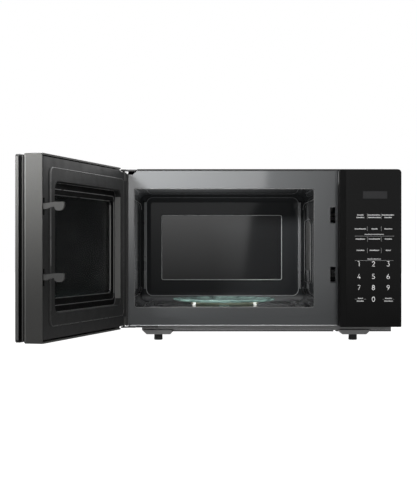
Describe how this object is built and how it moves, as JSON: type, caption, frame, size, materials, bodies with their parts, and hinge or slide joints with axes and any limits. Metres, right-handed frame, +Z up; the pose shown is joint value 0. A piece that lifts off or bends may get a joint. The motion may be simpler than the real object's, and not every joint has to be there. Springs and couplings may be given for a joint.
{
  "type": "microwave oven",
  "caption": "Countertop microwave oven with a side-hinged door, latch hooks, enamelled cavity, glass turntable on a roller ring and a flat control panel.",
  "frame": {"origin": "on the floor, at the centre of the rectangle of the four feet", "axes": "+X to the right of somebody facing the door, +Y rearwards, +Z up"},
  "size_m": [0.5859, 0.6736, 0.2878],
  "materials": {
    "wrap_paint": "satin",
    "galvanised": "satin",
    "plate_enamel": "gloss",
    "cavity_enamel": "gloss",
    "mica": "matte",
    "aluminium": "satin",
    "core_steel": "matte",
    "copper": "satin",
    "black_moulding": "matte",
    "white_moulding": "matte",
    "lamp_glass": "gloss",
    "circuit_board": "satin",
    "tinted_glass": "gloss",
    "ring_moulding": "satin",
    "red_moulding": "satin",
    "gloss_moulding": "gloss",
    "gloss_overlay": "gloss",
    "smoked_window": "gloss",
    "black_glass": "gloss",
    "textured_moulding": "textured",
    "screen_enamel": "satin",
    "clear_sheet": "gloss",
    "cover_moulding": "satin",
    "grey_moulding": "satin",
    "spring_steel": "gloss",
    "foot_rubber": "matte",
    "screw_steel": "satin",
    "hinge_steel": "satin"
  },
  "bodies": {
    "cabinet": {"base_plate": "galvanised", "board_components": "black_moulding", "capacitor": "aluminium", "capacitor_clamp": "galvanised", "case_screws": "screw_steel", "cavity_lamp": "lamp_glass", "cavity_liner": "cavity_enamel", "control_board": "circuit_board", "cord_gland": "black_moulding", "display_module": "black_moulding", "display_window": "smoked_window", "fan_motor": "core_steel", "fan_shroud": "black_moulding", "feet": "foot_rubber", "filter_board": "circuit_board", "filter_parts": "copper", "front_plate": "plate_enamel", "interlock_bracket": "white_moulding", "lamp_holder": "white_moulding", "lower_hinge": "hinge_steel", "magnetron_anode": "aluminium", "magnetron_antenna": "aluminium", "magnetron_filter_box": "galvanised", "magnetron_yoke": "galvanised", "monitor_switch": "black_moulding", "outer_wrap": "wrap_paint", "panel_housing": "gloss_moulding", "panel_overlay": "gloss_overlay", "primary_switch": "black_moulding", "rear_panel": "galvanised", "rectifier_diode": "black_moulding", "secondary_switch": "black_moulding", "thermal_cutouts": "black_moulding", "transformer_core": "core_steel", "transformer_windings": "copper", "turntable_motor": "galvanised", "upper_hinge": "hinge_steel", "waveguide": "galvanised", "waveguide_cover": "mica"},
    "door": {"door_glass": "black_glass", "door_grip": "black_moulding", "door_frame": "textured_moulding", "pivot_bushes": "white_moulding", "door_panel": "screen_enamel", "door_inner_sheet": "clear_sheet", "choke_cover": "cover_moulding", "latch_spring": "spring_steel"},
    "latch": {"latch_lever": "grey_moulding"},
    "coupler": {"drive_coupler": "white_moulding"},
    "plate": {"glass_plate": "tinted_glass"},
    "ring": {"roller_ring": "ring_moulding"},
    "wheel_1": {"roller_1": "white_moulding"},
    "wheel_2": {"roller_2": "white_moulding"},
    "wheel_3": {"roller_3": "white_moulding"},
    "fan": {"fan_blade": "white_moulding"},
    "plunger_a": {"primary_plunger": "red_moulding"},
    "plunger_b": {"monitor_plunger": "red_moulding"},
    "plunger_c": {"secondary_plunger": "red_moulding"}
  },
  "joints": [
    {"name": "door_swing", "type": "hinge", "parent": "cabinet", "child": "door", "pos_m": [-0.2211, -0.1598, 0.15], "axis": [0, 0, 1], "range_deg": [-9.8, 105.2]},
    {"name": "latch_lift", "type": "slide", "parent": "door", "child": "latch", "axis": [0, 0, 1], "range_m": [0, 0.003], "stiffness_N_per_m": 400, "springref_m": -0.004, "deforming": ["latch_spring"]},
    {"name": "table_spin", "type": "hinge", "parent": "cabinet", "child": "coupler", "pos_m": [-0.0517, -0.005, 0.05], "axis": [0, 0, 1], "continuous": true},
    {"name": "plate_lift", "type": "slide", "parent": "coupler", "child": "plate", "axis": [0, 0, 1], "range_m": [0, 0.1]},
    {"name": "ring_spin", "type": "hinge", "parent": "cabinet", "child": "ring", "pos_m": [-0.0517, -0.005, 0.0586], "axis": [0, 0, 1], "continuous": true},
    {"name": "roller_1_spin", "type": "hinge", "parent": "ring", "child": "wheel_1", "pos_m": [0.00199, -0.036, 0.0586], "axis": [0.866, -0.5, 0], "continuous": true},
    {"name": "roller_2_spin", "type": "hinge", "parent": "ring", "child": "wheel_2", "pos_m": [-0.0517, 0.057, 0.0586], "axis": [0, 1, 0], "continuous": true},
    {"name": "roller_3_spin", "type": "hinge", "parent": "ring", "child": "wheel_3", "pos_m": [-0.10539, -0.036, 0.0586], "axis": [-0.866, -0.5, 0], "continuous": true},
    {"name": "fan_spin", "type": "hinge", "parent": "cabinet", "child": "fan", "pos_m": [0.168, 0.13, 0.128], "axis": [0, 1, 0], "continuous": true},
    {"name": "primary_press", "type": "slide", "parent": "cabinet", "child": "plunger_a", "axis": [0, 1, 0], "range_m": [0, 0.0015], "stiffness_N_per_m": 300, "springref_m": -0.001},
    {"name": "monitor_press", "type": "slide", "parent": "cabinet", "child": "plunger_b", "axis": [0, 1, 0], "range_m": [0, 0.0015], "stiffness_N_per_m": 300, "springref_m": -0.001},
    {"name": "secondary_press", "type": "slide", "parent": "cabinet", "child": "plunger_c", "axis": [0, 1, 0], "range_m": [0, 0.0015], "stiffness_N_per_m": 300, "springref_m": -0.001}
  ],
  "couplings": [
    {"joint": "ring_spin", "follows": "table_spin", "ratio": 0.5}
  ]
}
